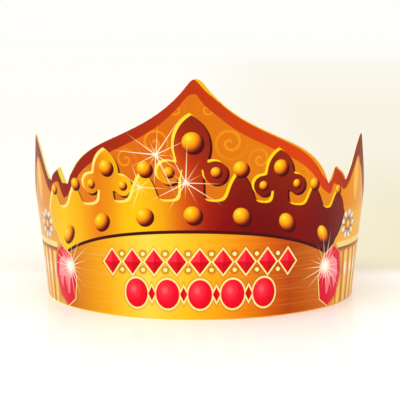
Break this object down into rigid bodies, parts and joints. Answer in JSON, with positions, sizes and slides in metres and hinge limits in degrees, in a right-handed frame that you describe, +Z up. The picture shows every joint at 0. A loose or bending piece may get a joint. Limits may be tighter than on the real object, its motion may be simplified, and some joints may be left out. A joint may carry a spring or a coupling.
{
  "type": "paper crown",
  "caption": "Printed card party crown: one die-cut strip rolled into a flaring ring, tall point at the front, small side points, plain low back with a tongue and slot.",
  "frame": {"origin": "on the surface that the crown stands on, under the middle of its box", "axes": "+Z up; -Y is the way the wearer faces, with the tall front point; +X is to the right seen from the front"},
  "size_m": [0.2024, 0.2116, 0.1356],
  "materials": {
    "printed_card": "gold, orange and dark red print under a gloss film, plain white inside"
  },
  "bodies": {
    "root": {"crown_card": "printed_card"}
  },
  "joints": []
}
